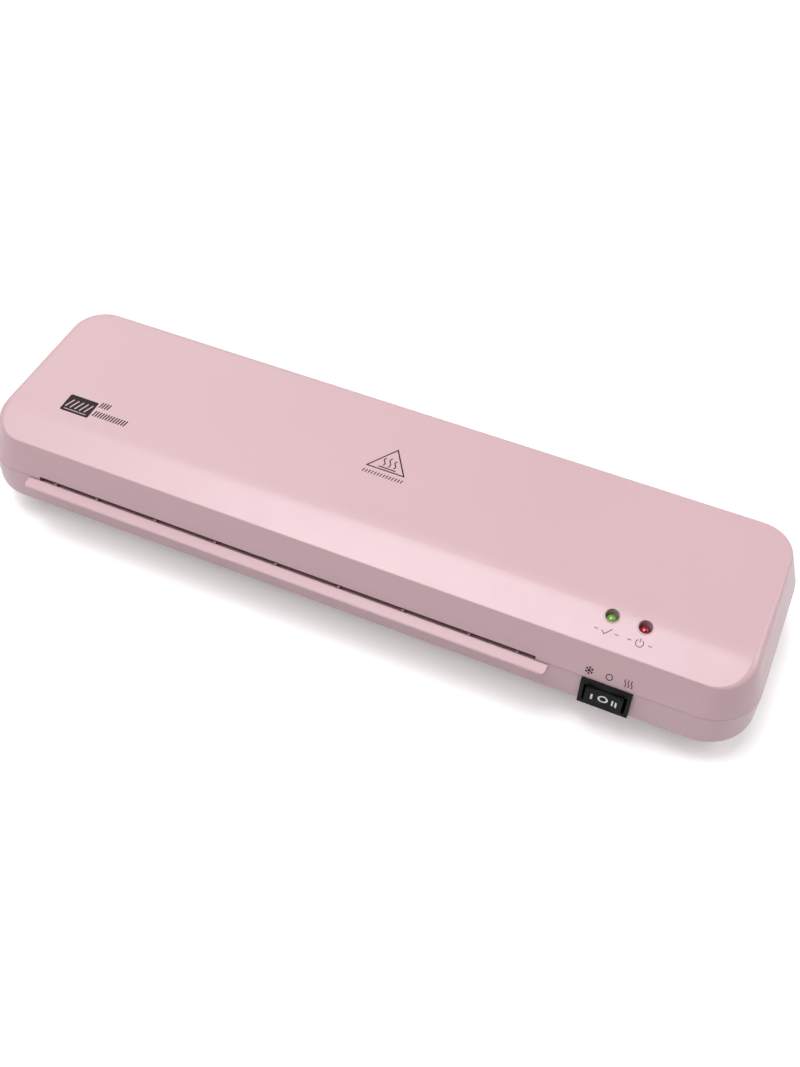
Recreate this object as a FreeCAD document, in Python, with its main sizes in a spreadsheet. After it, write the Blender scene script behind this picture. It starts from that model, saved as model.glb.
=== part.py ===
import FreeCAD, Part
import Sketcher
import math
import os
from types import SimpleNamespace

from FreeCAD import Placement, Rotation, Vector

# A4 pouch laminator with a hot and a cold setting.  Millimetres, +Z up, the operator's side faces -Y.
# The origin is on the table under the middle of the machine.  A pouch goes in at the front slot,
# between two heated plates, through one pair of geared silicone rollers and out of the rear slot.

doc = FreeCAD.newDocument("pouch_laminator")

DIMENSIONS = {
    # Case: a slab whose upper walls lean out to a crease, then drop straight to a rim above the base.
    "top_height": 48.0,
    "crease_height": 29.7,
    "rim_height": 14.2,
    "base_height": 5.0,
    "body_length": 352.0,
    "body_depth": 100.0,
    "body_corner": 21.5,
    "top_length": 341.4,
    "top_depth": 84.7,
    "top_corner": 15.2,
    "base_length": 328.0,
    "base_depth": 80.0,
    "base_corner": 11.5,
    "wall": 2.2,
    "slope_start": 23.3,
    "slope_angle": 15.0,
    "slope_blend": 30.0,
    "front_edge_round": 0.8,
    "end_edge_round": 4.0,
    "back_edge_round": 1.2,
    "rim_round": 1.2,
    "base_round": 2.0,
    # Pouch path and its slots.
    "slot_left": -142.2,
    "slot_right": 89.1,
    "slot_top": 30.75,
    "path_height": 28.7,
    "lip_reach": 4.95,
    "lip_overhang": 5.5,
    "lip_corner": 1.8,
    "tray_thick": 2.0,
    "tray_drop": 1.2,
    "tray_end": 36.0,
    "exit_tray_start": 24.0,
    "guide_rib_pitch": 29.0,
    "guide_rib_end": 7.8,
    "guide_rib_width": 1.2,
    "guide_rib_tall": 0.8,
    "fit_gap": 0.2,
    # Case screws and feet.
    "screw_corner_across": 160.0,
    "screw_corner_along": 31.0,
    "screw_front_across": 103.2,
    "screw_front_along": 34.5,
    "screw_rear_across": 94.5,
    "screw_rear_along": 43.5,
    "boss_radius": 3.5,
    "boss_joint": 27.0,
    "boss_top": 38.0,
    "boss_pilot_radius": 1.3,
    "case_screw_seat": 16.0,
    "case_screw_tip": 36.0,
    "case_screw_radius": 1.25,
    "case_screw_head_radius": 2.8,
    "case_screw_head_tall": 2.2,
    "hex_key_radius": 1.2,
    "screw_well_radius": 3.2,
    "foot_across": 150.0,
    "foot_along": 33.4,
    "foot_radius": 6.0,
    "foot_recess": 0.8,
    "vent_pitch": 6.0,
    "vent_width": 2.5,
    "vent_reach": 12.0,
    "ceiling_rib_pitch": 30.0,
    "ceiling_rib_thick": 1.2,
    "ceiling_rib_front": 25.0,
    "ceiling_rib_back": 36.0,
    "ceiling_rib_floor": 40.5,
    # Rocker switch, in a 21 x 14.8 bezel on the front wall.
    "switch_across": 119.3,
    "switch_height": 22.1,
    "bezel_width": 21.0,
    "bezel_tall": 14.8,
    "bezel_thick": 1.6,
    "switch_body_width": 19.0,
    "switch_body_tall": 12.6,
    "switch_body_deep": 13.0,
    "well_width": 17.8,
    "well_tall": 10.6,
    "well_deep": 6.0,
    "rocker_width": 15.4,
    "rocker_tall": 10.0,
    "rocker_proud": 3.4,
    "rocker_hollow": 1.4,
    "rocker_pivot_deep": 2.5,
    "rocker_back": 1.5,
    "rocker_pin_radius": 1.0,
    "rocker_pin_long": 0.8,
    "shaft_play": 0.05,
    # Indicator lamps: two 5 mm lamps in recessed holes on the front slope.
    "lamp_ready_across": 112.3,
    "lamp_power_across": 125.9,
    "lamp_along": -30.2,
    "lamp_hole_radius": 2.8,
    "lamp_radius": 2.5,
    "lamp_top": 46.4,
    "lamp_board_top": 36.5,
    # Rollers: 8 mm steel shafts in 3 mm of silicone, one over the other.
    "roller_along": 14.0,
    "roller_pitch_radius": 7.0,
    "sleeve_radius": 6.85,
    "shaft_radius": 4.0,
    "sleeve_left": -144.5,
    "sleeve_right": 91.4,
    "plate_left": -149.0,
    "plate_right": 96.0,
    "plate_thick": 1.2,
    "plate_front": -38.0,
    "plate_back": 38.0,
    "plate_bottom": 9.5,
    "plate_top": 44.2,
    "bush_radius": 5.5,
    "block_width": 12.4,
    "block_deep": 6.0,
    "block_half_tall": 5.6,
    "block_neck_width": 10.6,
    "carriage_travel": 0.8,
    "spring_radius": 2.6,
    "spring_wire": 0.8,
    "spring_turns": 4.0,
    # Gear train: three equal gears, 14 teeth of module 1.
    "gear_teeth": 14.0,
    "gear_module": 1.0,
    "gear_start": 104.0,
    "gear_width": 6.0,
    "gear_backlash": 0.3,
    "motor_height": 31.5,
    "post_spread": 6.9,
    "post_back": 35.6,
    "post_front": 5.3,
    "bracket_start": 113.0,
    "motor_shaft_radius": 2.0,
    "motor_screw_spread": 8.5,
    "tie_bar_along": 30.0,
    "tie_bar_height": 12.6,
    "tie_bar_radius": 2.5,
    "gearbox_radius": 12.0,
    "gearbox_long": 15.0,
    "motor_radius": 12.2,
    "motor_long": 25.0,
    # Heated plates above and below the path.
    "heat_front": -34.0,
    "heat_back": 3.0,
    "heat_gap": 1.6,
    "heat_thick": 3.0,
    "heat_rib_tall": 4.4,
    "heat_rib_thick": 1.6,
    "heat_left": -144.0,
    "heat_right": 91.0,
    "strip_tall": 3.0,
    "holder_half_tall": 10.0,
    "holder_slot_deep": 5.0,
    "shield_bottom": 15.6,
    "shield_tall": 3.0,
    "shield_thick": 0.6,
    "thermostat_radius": 8.2,
    "thermostat_cap_tall": 4.0,
    "thermostat_tall": 8.0,
    "thermostat_tab_reach": 14.0,
    # Mains lead outlet in the rear wall.
    "gland_across": 148.0,
    "gland_height": 21.5,
    "gland_bore_radius": 3.2,
    "gland_radius": 4.9,
    "gland_flange_radius": 6.4,
    "gland_flange_thick": 1.5,
    "gland_inside": 4.0,
    # Control board, on four pillars of the floor.
    "board_left": 112.0,
    "board_right": 168.0,
    "board_front": -20.0,
    "board_back": 10.0,
    "board_bottom": 12.0,
    "board_thick": 1.6,
    "board_edge": 3.5,
    "screw_pilot_radius": 1.2,
    "screw_hole_radius": 1.6,
    "screw_radius": 1.15,
}

sheet = doc.addObject("Spreadsheet::Sheet", "Sizes")
for row, (alias, number) in enumerate(DIMENSIONS.items(), start=1):
    sheet.set(f"A{row}", alias)
    sheet.set(f"B{row}", str(number))
    sheet.setAlias(f"B{row}", alias)
doc.recompute()


# ---------------------------------------------------------------- sizes that carry their formula


class Size:
    """A number together with the sheet formula that it comes from."""

    def __init__(self, value, formula):
        self.value = float(value)
        self.formula = formula

    def __add__(self, other):
        other = size(other)
        return Size(self.value + other.value, f"({self.formula} + {other.formula})")

    def __sub__(self, other):
        other = size(other)
        return Size(self.value - other.value, f"({self.formula} - {other.formula})")

    def __mul__(self, other):
        other = size(other)
        return Size(self.value * other.value, f"({self.formula} * {other.formula})")

    def __truediv__(self, other):
        other = size(other)
        return Size(self.value / other.value, f"({self.formula} / {other.formula})")

    def __neg__(self):
        return size(0) - self

    __radd__ = __add__
    __rmul__ = __mul__

    def __rsub__(self, other):
        return size(other) - self


def size(thing):
    """Turns a plain number into a Size; a Size stays as it is."""
    if isinstance(thing, Size):
        return thing
    return Size(thing, f"({thing:.10g})")


def sine(angle):
    return Size(math.sin(math.radians(angle.value)), f"sin({angle.formula} * 1deg)")


def cosine(angle):
    return Size(math.cos(math.radians(angle.value)), f"cos({angle.formula} * 1deg)")


S = SimpleNamespace(**{alias: Size(number, f"Sizes.{alias}") for alias, number in DIMENSIONS.items()})


def bind(thing, path, amount):
    thing.setExpression(path, size(amount).formula)


# ---------------------------------------------------------------- Part helpers

NODES = []
TURN_TO_AXIS = {
    "X": Rotation(Vector(0, 1, 0), 90),
    "Y": Rotation(Vector(1, 0, 0), -90),
    "Z": Rotation(),
}


def node(name, thing):
    """Names a finished sub-part, which is exported under that name."""
    thing.Label = name
    NODES.append(thing)
    return thing


def place(thing, x, y, z):
    for path, amount in (("x", x), ("y", y), ("z", z)):
        bind(thing, f"Placement.Base.{path}", amount)


def box(x, y, z):
    """A block between x[0] and x[1], y[0] and y[1], z[0] and z[1]."""
    block = doc.addObject("Part::Box", "block")
    for side, span in (("Length", x), ("Width", y), ("Height", z)):
        bind(block, side, size(span[1]) - span[0])
    place(block, x[0], y[0], z[0])
    return block


def rod(axis, radius, span, first, second):
    """A cylinder along an axis; first and second are its place along the two other axes."""
    cylinder = doc.addObject("Part::Cylinder", "rod")
    cylinder.Placement = Placement(Vector(), TURN_TO_AXIS[axis])
    bind(cylinder, "Radius", radius)
    bind(cylinder, "Height", size(span[1]) - span[0])
    corner = {
        "X": (span[0], first, second),
        "Y": (first, span[0], second),
        "Z": (first, second, span[0]),
    }[axis]
    place(cylinder, *corner)
    return cylinder


def ball(radius, x, y, z):
    sphere = doc.addObject("Part::Sphere", "ball")
    bind(sphere, "Radius", radius)
    place(sphere, x, y, z)
    return sphere


def fuse(*pieces):
    pieces = list(pieces)
    if len(pieces) == 1:
        return pieces[0]
    joined = doc.addObject("Part::MultiFuse", "joined")
    joined.Shapes = pieces
    joined.Refine = True
    return joined


def cut(base, *tools):
    trimmed = doc.addObject("Part::Cut", "trimmed")
    trimmed.Base = base
    trimmed.Tool = fuse(*tools)
    trimmed.Refine = True
    return trimmed


def common(base, tool):
    shared = doc.addObject("Part::Common", "shared")
    shared.Base = base
    shared.Tool = tool
    return shared


def tube(axis, outer, inner, span, first, second):
    return cut(rod(axis, outer, span, first, second), rod(axis, inner, span, first, second))


def mirrored_spots(across, along):
    return [(sx * across, sy * along) for sx in (-1, 1) for sy in (-1, 1)]


# ---------------------------------------------------------------- PartDesign helpers

# The sketch plane's normal is +Z on XY, -Y on XZ and +X on YZ.
PLANE_ROLES = {"XY": "XY_Plane", "XZ": "XZ_Plane", "YZ": "YZ_Plane"}


def new_body(name):
    return doc.addObject("PartDesign::Body", name)


def new_sketch(body, plane, offset):
    sketch = body.newObject("Sketcher::SketchObject", body.Name + "_sketch")
    planes = [item for item in body.Origin.OriginFeatures if item.Role == PLANE_ROLES[plane]]
    sketch.AttachmentSupport = [(planes[0], "")]
    sketch.MapMode = "FlatFace"
    bind(sketch, "AttachmentOffset.Base.z", offset)
    return sketch


def pin_point(sketch, edge, end, spot):
    """Fixes one end of an edge by its two distances from the sketch's origin."""
    for kind, amount in zip(("DistanceX", "DistanceY"), spot):
        amount = size(amount)
        index = sketch.addConstraint(Sketcher.Constraint(kind, -1, 1, edge, end, amount.value))
        bind(sketch, f"Constraints[{index}]", amount)


def polygon(body, plane, offset, points):
    """A closed outline of straight edges, every corner bound to the sheet."""
    sketch = new_sketch(body, plane, offset)
    flat = [Vector(size(a).value, size(b).value, 0) for a, b in points]
    count = len(flat)
    for index in range(count):
        sketch.addGeometry(Part.LineSegment(flat[index], flat[(index + 1) % count]), False)
    for index in range(count):
        sketch.addConstraint(Sketcher.Constraint("Coincident", index, 2, (index + 1) % count, 1))
    for index, spot in enumerate(points):
        pin_point(sketch, index, 1, spot)
    return sketch


def rounded_rectangle(body, offset, length, depth, radius):
    """A rectangle round the origin of the XY plane, with four equal corner arcs."""
    sketch = new_sketch(body, "XY", offset)
    across = length / 2 - radius
    along = depth / 2 - radius
    r = radius.value
    centres = [(across, -along), (across, along), (-across, along), (-across, -along)]
    flat = [Vector(a.value, b.value, 0) for a, b in centres]
    for quarter, centre in enumerate(flat):
        circle = Part.Circle(centre, Vector(0, 0, 1), r)
        start = math.radians(90 * (quarter - 1))
        sketch.addGeometry(Part.ArcOfCircle(circle, start, start + math.pi / 2), False)
        away = Vector(math.cos(start + math.pi / 2), math.sin(start + math.pi / 2), 0) * r
        sketch.addGeometry(Part.LineSegment(centre + away, flat[(quarter + 1) % 4] + away), False)
    for quarter in range(4):
        arc, line, after = 2 * quarter, 2 * quarter + 1, (2 * quarter + 2) % 8
        sketch.addConstraint(Sketcher.Constraint("Tangent", arc, 2, line, 1))
        sketch.addConstraint(Sketcher.Constraint("Tangent", line, 2, after, 1))
        index = sketch.addConstraint(Sketcher.Constraint("Radius", arc, r))
        bind(sketch, f"Constraints[{index}]", radius)
        pin_point(sketch, arc, 3, centres[quarter])
    return sketch


def pad(body, sketch, length):
    feature = body.newObject("PartDesign::Pad", body.Name + "_pad")
    feature.Profile = sketch
    bind(feature, "Length", length)
    sketch.Visibility = False
    return feature


def prism(name, plane, span, points):
    """A body whose polygon is padded between span[0] and span[1] along the plane's own axis."""
    body = new_body(name)
    start = -size(span[1]) if plane == "XZ" else span[0]
    pad(body, polygon(body, plane, start, points), size(span[1]) - span[0])
    return body


def loft(name, low, high):
    """A ruled solid between two rounded rectangles, each (height, length, depth, corner)."""
    body = new_body(name)
    feature = body.newObject("PartDesign::AdditiveLoft", name + "_loft")
    feature.Profile = rounded_rectangle(body, *low)
    feature.Sections = [rounded_rectangle(body, *high)]
    feature.Ruled = True
    return body


def slope_tool(name, lower_by):
    """What the front slope takes off the flat top: a tangent arc, then a straight fall to the front."""
    body = new_body(name)
    reach = size(-60)
    crown = S.top_height + 6
    flat = S.top_height - lower_by
    blend = S.slope_blend - lower_by
    half = S.body_length / 2 + 5
    bend = (-S.slope_start - blend * sine(S.slope_angle), flat - blend * (1 - cosine(S.slope_angle)))
    run = bend[0] - reach
    foot = (reach, bend[1] - run * sine(S.slope_angle) / cosine(S.slope_angle))
    sketch = new_sketch(body, "YZ", -half)
    centre = (-S.slope_start, flat - blend)
    start = math.pi / 2
    circle = Part.Circle(Vector(centre[0].value, centre[1].value, 0), Vector(0, 0, 1), blend.value)
    sketch.addGeometry(Part.ArcOfCircle(circle, start, start + math.radians(S.slope_angle.value)), False)
    corners = [bend, foot, (reach, crown), (-S.slope_start, crown), (-S.slope_start, flat)]
    spots = [Vector(size(a).value, size(b).value, 0) for a, b in corners]
    for first, second in zip(spots, spots[1:]):
        sketch.addGeometry(Part.LineSegment(first, second), False)
    sketch.addConstraint(Sketcher.Constraint("Tangent", 0, 2, 1, 1))
    for edge in (1, 2, 3):
        sketch.addConstraint(Sketcher.Constraint("Coincident", edge, 2, edge + 1, 1))
    sketch.addConstraint(Sketcher.Constraint("Coincident", 4, 2, 0, 1))
    pin_point(sketch, 0, 3, centre)
    for edge, spot in ((2, foot), (3, (reach, crown)), (4, (-S.slope_start, crown))):
        pin_point(sketch, edge, 1, spot)
    pin_point(sketch, 0, 1, (-S.slope_start, flat))
    pad(body, sketch, half * 2)
    return body


# ---------------------------------------------------------------- case


def outline_at(height, inset):
    """The case's outline between its crease and its top, at a height, set in by a wall."""
    part = (height - S.crease_height) / (S.top_height - S.crease_height)
    length = S.body_length + part * (S.top_length - S.body_length) - 2 * inset
    depth = S.body_depth + part * (S.top_depth - S.body_depth) - 2 * inset
    corner = S.body_corner + part * (S.top_corner - S.body_corner) - inset
    return height, length, depth, corner


LONG_EDGE = 100


def soften_top_edges(blank):
    """Rounds the top rim: crisp along the front, softer along both ends, fine along the back."""
    doc.recompute()
    front = S.front_edge_round.value
    end = S.end_edge_round.value
    back = S.back_edge_round.value
    shape = blank.Shape
    crown_floor = S.crease_height.value + 1
    front_y = min(vertex.Y for vertex in shape.Vertexes if vertex.Z > crown_floor)
    rounds = []
    for number, edge in enumerate(shape.Edges, start=1):
        ends = [edge.valueAt(edge.FirstParameter), edge.valueAt(edge.LastParameter)]
        if min(spot.z for spot in ends) < crown_floor:
            continue
        runs_across = abs(ends[0].x - ends[1].x) > LONG_EDGE
        if runs_across and front_y + 1 < ends[0].y < 0:
            continue  # the two ends of the slope's blend are tangent already
        radii = []
        for spot in ends:
            if abs(spot.y - front_y) < 0.01:
                radii.append(front)
            elif spot.y > 0 and abs(spot.x) < S.top_length.value / 2 - 1:
                radii.append(back)
            else:
                radii.append(end)
        rounds.append((number, radii[0], radii[1]))
    fillet = doc.addObject("Part::Fillet", "softened")
    fillet.Base = blank
    fillet.Edges = rounds
    return fillet


def soften_lower_edges(blank):
    """Rounds the rim and the edge of the base."""
    doc.recompute()
    rounds = []
    for number, edge in enumerate(blank.Shape.Edges, start=1):
        heights = [vertex.Z for vertex in edge.Vertexes]
        for level, radius in ((S.rim_height, S.rim_round), (S.base_height, S.base_round)):
            if all(abs(height - level.value) < 0.01 for height in heights):
                rounds.append((number, radius.value, radius.value))
    fillet = doc.addObject("Part::Fillet", "softened")
    fillet.Base = blank
    fillet.Edges = rounds
    return fillet


def boss_spots():
    return mirrored_spots(S.screw_corner_across, S.screw_corner_along) + [
        (S.screw_front_across, -S.screw_front_along),
        (S.screw_rear_across, S.screw_rear_along),
    ]


def slot_notch(side, low, high):
    """A notch across one long wall, the width of the pouch slot; side is -1 in front and 1 behind."""
    outer = side * (S.body_depth / 2 + 1)
    inner = side * (S.body_depth / 2 - 6)
    span = (outer, inner) if side < 0 else (inner, outer)
    return box((S.slot_left, S.slot_right), span, (low, high))


def make_upper_cover():
    blank = loft("upper_blank", outline_at(S.crease_height, size(0)), outline_at(S.top_height, size(0)))
    shaped = soften_top_edges(cut(blank, slope_tool("outer_slope", size(0))))
    hollow = loft(
        "upper_hollow",
        outline_at(S.crease_height - 1, S.wall),
        outline_at(S.top_height - S.wall, S.wall),
    )
    hollow = cut(hollow, slope_tool("inner_slope", S.wall))
    lamp_spots = [(S.lamp_ready_across, S.lamp_along), (S.lamp_power_across, S.lamp_along)]
    additions = []
    for across, along in boss_spots():
        additions.append(rod("Z", S.boss_radius, (S.boss_joint, S.top_height), across, along))
    for across, along in lamp_spots:
        additions.append(rod("Z", S.lamp_hole_radius + 1.2, (S.lamp_top - 3.5, S.top_height), across, along))
    for across in (S.lamp_ready_across - 3, S.lamp_power_across + 3):
        additions.append(rod("Z", 2, (S.lamp_board_top, S.top_height), across, S.lamp_along + 6.5))
    half_rib = S.ceiling_rib_thick / 2
    for step in range(-4, 3):
        across = S.ceiling_rib_pitch * step
        additions.append(box(
            (across - half_rib, across + half_rib),
            (S.ceiling_rib_front, S.ceiling_rib_back),
            (S.ceiling_rib_floor, S.top_height),
        ))
    inner_fittings = common(fuse(*additions), hollow)
    shell = fuse(cut(shaped, hollow), inner_fittings)
    holes = [slot_notch(side, S.crease_height - 1, S.slot_top) for side in (-1, 1)]
    for across, along in lamp_spots:
        holes.append(rod("Z", S.lamp_hole_radius, (S.lamp_top - 5, S.top_height + 1), across, along))
    for across, along in boss_spots():
        holes.append(rod("Z", S.boss_pilot_radius, (S.boss_joint - 1, S.boss_top), across, along))
    return node("upper_cover", cut(shell, *holes))


VENT_GROUPS = (-100, -27, 46)


def make_lower_cover():
    joint_gap = S.fit_gap / 2
    wall_outline = (S.body_length, S.body_depth, S.body_corner)
    inner_outline = (S.body_length - 2 * S.wall, S.body_depth - 2 * S.wall, S.body_corner - S.wall)
    base_outline = (S.base_length, S.base_depth, S.base_corner)
    inner_base = (S.base_length - 2 * S.wall, S.base_depth - 2 * S.wall, S.base_corner - S.wall)
    skirt = new_body("lower_skirt")
    pad(skirt, rounded_rectangle(skirt, S.rim_height, *wall_outline), S.crease_height - joint_gap - S.rim_height)
    skirt_hollow = new_body("skirt_hollow")
    hollow_start = S.rim_height + 0.9
    pad(skirt_hollow, rounded_rectangle(skirt_hollow, hollow_start, *inner_outline), S.crease_height + 1 - hollow_start)
    belly = loft("lower_belly", (S.base_height, *base_outline), (S.rim_height, *wall_outline))
    belly_hollow = loft("belly_hollow", (S.base_height + S.wall, *inner_base), (hollow_start, *inner_outline))
    outer = soften_lower_edges(fuse(skirt, belly))
    hollow = fuse(skirt_hollow, belly_hollow)
    floor = S.base_height + 1
    additions = []
    for across, along in boss_spots():
        additions.append(rod("Z", S.boss_radius + 0.8, (floor, S.boss_joint - S.fit_gap), across, along))
    for across, along in chassis_screw_spots():
        additions.append(rod("Z", 3.5, (floor, S.plate_bottom), across, along))
    for across, along in board_spots():
        additions.append(rod("Z", 2.5, (floor, S.board_bottom), across, along))
    shell = fuse(cut(outer, hollow), common(fuse(*additions), outer))
    front = -S.body_depth / 2
    holes = [slot_notch(side, S.path_height - S.tray_thick - 0.1, S.crease_height + 1) for side in (-1, 1)]
    half_wide = S.switch_body_width / 2 + 0.1
    half_tall = S.switch_body_tall / 2 + 0.1
    holes.append(box(
        (S.switch_across - half_wide, S.switch_across + half_wide),
        (front - 1, front + S.wall + 1),
        (S.switch_height - half_tall, S.switch_height + half_tall),
    ))
    rear = S.body_depth / 2
    holes.append(rod("Y", S.gland_radius + 0.1, (rear - S.wall - 1, rear + 1), S.gland_across, S.gland_height))
    for across, along in boss_spots():
        holes.append(rod("Z", 1.7, (S.base_height - 1, S.boss_joint), across, along))
        holes.append(rod("Z", S.screw_well_radius, (S.base_height - 3, S.case_screw_seat), across, along))
    for across, along in chassis_screw_spots() + board_spots():
        holes.append(rod("Z", S.screw_pilot_radius, (S.base_height + 1.4, 13), across, along))
    for across, along in mirrored_spots(S.foot_across, S.foot_along):
        holes.append(rod("Z", S.foot_radius + 0.2, (0, S.base_height + S.foot_recess), across, along))
    half_vent = S.vent_width / 2
    for middle in VENT_GROUPS:
        for step in range(-4, 5):
            across = middle + S.vent_pitch * step
            holes.append(box(
                (across - half_vent, across + half_vent),
                (-S.vent_reach, S.vent_reach),
                (S.base_height - 1, S.base_height + 4),
            ))
    return node("lower_cover", cut(shell, *holes))


def make_feet():
    names = ("foot_front_left", "foot_rear_left", "foot_front_right", "foot_rear_right")
    for name, (across, along) in zip(names, mirrored_spots(S.foot_across, S.foot_along)):
        pad_disc = rod("Z", S.foot_radius, (1, S.base_height + S.foot_recess), across, along)
        cone = doc.addObject("Part::Cone", "foot_taper")
        bind(cone, "Radius1", S.foot_radius - 0.8)
        bind(cone, "Radius2", S.foot_radius)
        bind(cone, "Height", 1)
        place(cone, across, along, 0)
        node(name, fuse(pad_disc, cone))


def make_case_screws():
    screws = []
    for across, along in boss_spots():
        under_head = S.case_screw_seat - S.case_screw_head_tall
        head = rod("Z", S.case_screw_head_radius, (under_head, S.case_screw_seat), across, along)
        socket = rod("Z", S.hex_key_radius, (under_head - 1, S.case_screw_seat - 1), across, along)
        shank = rod("Z", S.case_screw_radius, (S.case_screw_seat, S.case_screw_tip), across, along)
        screws.append(fuse(cut(head, socket), shank))
    node("case_screws", group(*screws))


def group(*pieces):
    """Separate solids kept together as one sub-part."""
    compound = doc.addObject("Part::Compound", "group")
    compound.Links = list(pieces)
    return compound


# ---------------------------------------------------------------- pouch guides


def make_guide(name, side):
    """The lip outside one slot with the tray behind it; side is -1 at the front, 1 at the rear."""
    wall_face = S.body_depth / 2
    top = S.path_height
    under = S.path_height - S.tray_thick
    tip = wall_face + S.lip_reach
    inner = S.tray_end if side < 0 else S.exit_tray_start
    lip_points = [
        (side * wall_face, under), (side * (tip - 1.1), under), (side * (tip - 0.3), under + 0.3),
        (side * tip, under + 0.8), (side * (tip - 0.15), top - 0.75), (side * (tip - 0.7), top - 0.4),
        (side * wall_face, top),
    ]
    # Inside the wall the tray drops away, and a pouch slides over the ribs that stand on it.
    floor = top - S.tray_drop
    tray_points = [
        (side * wall_face, under), (side * wall_face, top), (side * (wall_face - 0.2), top),
        (side * (wall_face - 0.5), floor), (side * inner, floor), (side * inner, under),
    ]
    lip = prism(name + "_lip", "YZ", (S.slot_left - S.lip_overhang, S.slot_right + S.lip_overhang), lip_points)
    plan = lip_plan(name + "_plan", side)
    tray = prism(name + "_tray", "YZ", (S.slot_left + S.fit_gap, S.slot_right - S.fit_gap), tray_points)
    middle = (S.slot_left + S.slot_right) / 2
    rib_spots = [middle + S.guide_rib_pitch * step for step in range(-3, 4)]
    rib_spots += [S.slot_left + S.guide_rib_end, S.slot_right - S.guide_rib_end]
    mouth = sorted_span(side * (wall_face - 0.4), side * (inner + 2))
    half = S.guide_rib_width / 2
    ribs = [
        box((across - half, across + half), mouth, (under + 0.2, top + S.guide_rib_tall))
        for across in rib_spots
    ]
    return node(name, fuse(common(lip, plan), tray, *ribs))


def sorted_span(first, second):
    return (first, second) if size(first).value < size(second).value else (second, first)


def lip_plan(name, side):
    """The lip seen from above: a strip whose two outer corners are rounded."""
    left = S.slot_left - S.lip_overhang
    right = S.slot_right + S.lip_overhang
    wall_face = side * S.body_depth / 2
    tip = side * (S.body_depth / 2 + S.lip_reach)
    corner = S.lip_corner
    back = tip - side * corner
    middle = box((left + corner, right - corner), sorted_span(wall_face, tip), (20, 40))
    strip = box((left, right), sorted_span(wall_face, back), (20, 40))
    rounds = [rod("Z", corner, (20, 40), across, back) for across in (left + corner, right - corner)]
    whole = fuse(middle, strip, *rounds)
    keep = box((left - 1, right + 1), sorted_span(wall_face, tip + side), (19, 41))
    return common(whole, keep)


# ---------------------------------------------------------------- switch and lamps


def make_switch():
    front = -S.body_depth / 2
    half = S.bezel_width / 2
    across = S.switch_across
    height = S.switch_height
    bezel = box(
        (across - half, across + half),
        (front - S.bezel_thick, front),
        (height - S.bezel_tall / 2, height + S.bezel_tall / 2),
    )
    body = box(
        (across - S.switch_body_width / 2, across + S.switch_body_width / 2),
        (front, front + S.switch_body_deep),
        (height - S.switch_body_tall / 2, height + S.switch_body_tall / 2),
    )
    well = box(
        (across - S.well_width / 2, across + S.well_width / 2),
        (front - S.bezel_thick - 1, front + S.well_deep),
        (height - S.well_tall / 2, height + S.well_tall / 2),
    )
    pivot = front + S.rocker_pivot_deep
    pin_reach = S.rocker_tall / 2 + S.rocker_pin_long
    sockets = rod(
        "Z", S.rocker_pin_radius + S.shaft_play,
        (height - pin_reach - 0.2, height + pin_reach + 0.2), across, pivot,
    )
    node("switch_housing", cut(fuse(bezel, body), well, sockets))
    face = front - S.rocker_proud
    slab = box(
        (across - S.rocker_width / 2, across + S.rocker_width / 2),
        (face, front + S.rocker_back),
        (height - S.rocker_tall / 2, height + S.rocker_tall / 2),
    )
    half_chord = S.rocker_width / 2
    dish = (half_chord * half_chord + S.rocker_hollow * S.rocker_hollow) / (2 * S.rocker_hollow)
    hollow = rod("Z", dish, (height - 10, height + 10), across, face + S.rocker_hollow - dish)
    hub = rod("Z", 2.2, (height - S.rocker_tall / 2, height + S.rocker_tall / 2), across, pivot)
    pins = rod("Z", S.rocker_pin_radius, (height - pin_reach, height + pin_reach), across, pivot)
    node("switch_rocker", fuse(cut(slab, hollow), hub, pins))
    back = front + S.switch_body_deep
    blades = []
    for step in (-1, 0, 1):
        spot = across + 6 * step
        blades.append(box((spot - 0.4, spot + 0.4), (back, back + 7.5), (height - 2.4, height + 2.4)))
    node("switch_terminals", group(*blades))


def make_lamps():
    for name, across in (("lamp_ready", S.lamp_ready_across), ("lamp_power", S.lamp_power_across)):
        shoulder = S.lamp_top - S.lamp_radius
        barrel = rod("Z", S.lamp_radius, (S.lamp_board_top, shoulder), across, S.lamp_along)
        rim = rod("Z", S.lamp_radius + 0.25, (S.lamp_board_top, S.lamp_board_top + 1), across, S.lamp_along)
        node(name, fuse(barrel, rim, ball(S.lamp_radius, across, S.lamp_along, shoulder)))
    left = S.lamp_ready_across - 5.3
    right = S.lamp_power_across + 5.3
    board = box(
        (left, right), (S.lamp_along - 6, S.lamp_along + 9),
        (S.lamp_board_top - 1.6, S.lamp_board_top),
    )
    node("lamp_board", board)


# ---------------------------------------------------------------- chassis


def chassis_screw_spots():
    left = S.plate_left - S.plate_thick - 5.3
    right = S.plate_right + S.plate_thick + 5.3
    return [(across, along) for across in (left, right) for along in (-20, 22.5)]


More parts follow.
